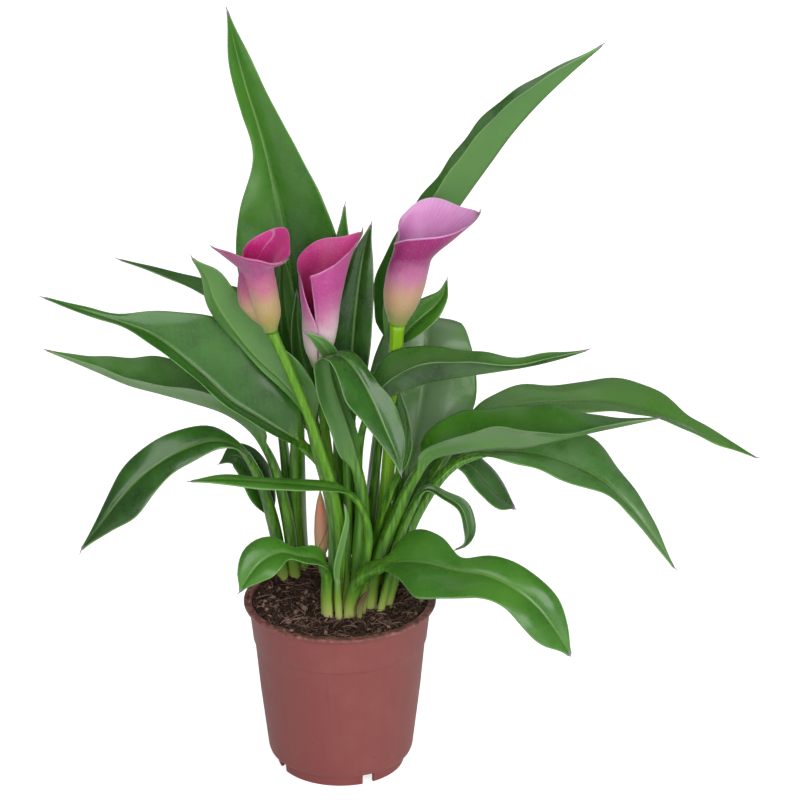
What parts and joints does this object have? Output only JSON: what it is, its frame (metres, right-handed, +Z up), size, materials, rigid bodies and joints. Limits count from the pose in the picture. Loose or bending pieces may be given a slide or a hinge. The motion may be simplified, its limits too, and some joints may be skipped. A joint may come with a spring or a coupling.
{
  "type": "potted calla lily",
  "caption": "Potted calla lily with open pink and magenta flowers on tall stems above arching lance-shaped green leaves, in a round terracotta-coloured nursery pot of peat.",
  "frame": {"origin": "centre of the flat foot face under the pot", "axes": "+Z up along the pot's axis, -Y towards the front, where the open faces of the flowers and the low leaves point, +X to the right when seen from the front"},
  "size_m": [0.4355, 0.1554, 0.4802],
  "materials": {
    "pot": "satin",
    "soil": "matte",
    "leaf": "satin",
    "sheath": "matte",
    "flower_stem": "satin",
    "spathe_left": "satin",
    "spathe_middle": "satin",
    "spathe_right": "satin",
    "spadix": "matte",
    "bud": "satin"
  },
  "bodies": {
    "root": {"pot": "pot", "soil": "soil", "leaf_tall_left": "leaf", "leaf_tall_right": "leaf", "leaf_back_left": "leaf", "leaf_upright_left": "leaf", "leaf_broad_left": "leaf", "leaf_folded_left": "leaf", "leaf_drooping_left": "leaf", "leaf_blunt_left": "leaf", "leaf_level_front": "leaf", "leaf_low_front": "leaf", "leaf_arched_centre": "leaf", "leaf_tip_centre": "leaf", "leaf_dark_upright": "leaf", "leaf_small_curled": "leaf", "leaf_broad_back": "leaf", "leaf_level_right": "leaf", "leaf_long_right": "leaf", "leaf_twisted_right": "leaf", "leaf_drooping_right": "leaf", "leaf_blunt_right": "leaf", "leaf_hooked_right": "leaf", "leaf_low_right": "leaf", "leaf_young_centre": "leaf", "leaf_between_flowers": "leaf", "leaf_behind_flower": "leaf", "leaf_shaded_centre": "leaf", "leaf_young_front": "leaf", "sheath_front": "sheath", "flower_stem_left": "flower_stem", "spathe_left": "spathe_left", "spadix_left": "spadix", "flower_stem_middle": "flower_stem", "spathe_middle": "spathe_middle", "spadix_middle": "spadix", "flower_stem_right": "flower_stem", "spathe_right": "spathe_right", "spadix_right": "spadix", "flower_stem_bud": "flower_stem", "flower_bud": "bud"}
  },
  "joints": []
}
